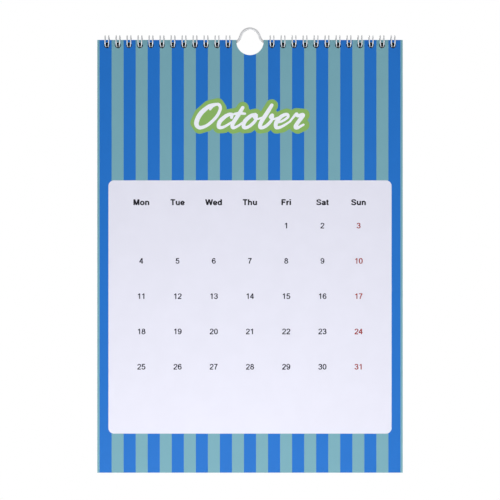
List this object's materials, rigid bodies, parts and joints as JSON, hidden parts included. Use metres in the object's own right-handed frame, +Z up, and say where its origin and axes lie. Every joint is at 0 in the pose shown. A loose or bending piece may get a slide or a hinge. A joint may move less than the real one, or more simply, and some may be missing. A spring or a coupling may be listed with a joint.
{
  "type": "wall calendar",
  "caption": "Portrait month calendar of leaves on a back board, bound along the top by double loop wire, with a bent wire hanger in a thumb cut.",
  "frame": {"origin": "where the nail bears, under the top of the hanger's arch, in the middle of its wire", "axes": "+X to the reader's right, -Y to the reader, +Z up as the calendar hangs"},
  "size_m": [0.235, 0.0093, 0.3429],
  "materials": {
    "hanger_wire": "white lacquered steel wire",
    "binding_wire": "silver nylon coated steel wire",
    "grey_board": "matt grey board",
    "coated_paper": "satin coated paper, printed grey teal",
    "blue_ink": "satin coated paper, printed blue",
    "pale_ink": "satin coated paper, printed pale lavender",
    "lime_ink": "satin coated paper, printed lime"
  },
  "bodies": {
    "hanger": {"hanger": "hanger_wire"},
    "binding": {"wire_left": "binding_wire", "wire_right": "binding_wire", "back_board": "grey_board"},
    "sheets": {"month_sheets": "coated_paper", "blue_stripes": "blue_ink", "date_panel": "pale_ink", "title_plate": "lime_ink"}
  },
  "joints": [
    {"name": "hanger_swivel", "type": "hinge", "parent": "hanger", "child": "binding", "pos_m": [0, 0, -0.0096], "axis": [1, 0, 0], "range_deg": [-22, 180]},
    {"name": "sheets_turn", "type": "hinge", "parent": "binding", "child": "sheets", "pos_m": [0, -0.0031, -0.0084], "axis": [-1, 0, 0], "range_deg": [0, 180]}
  ]
}
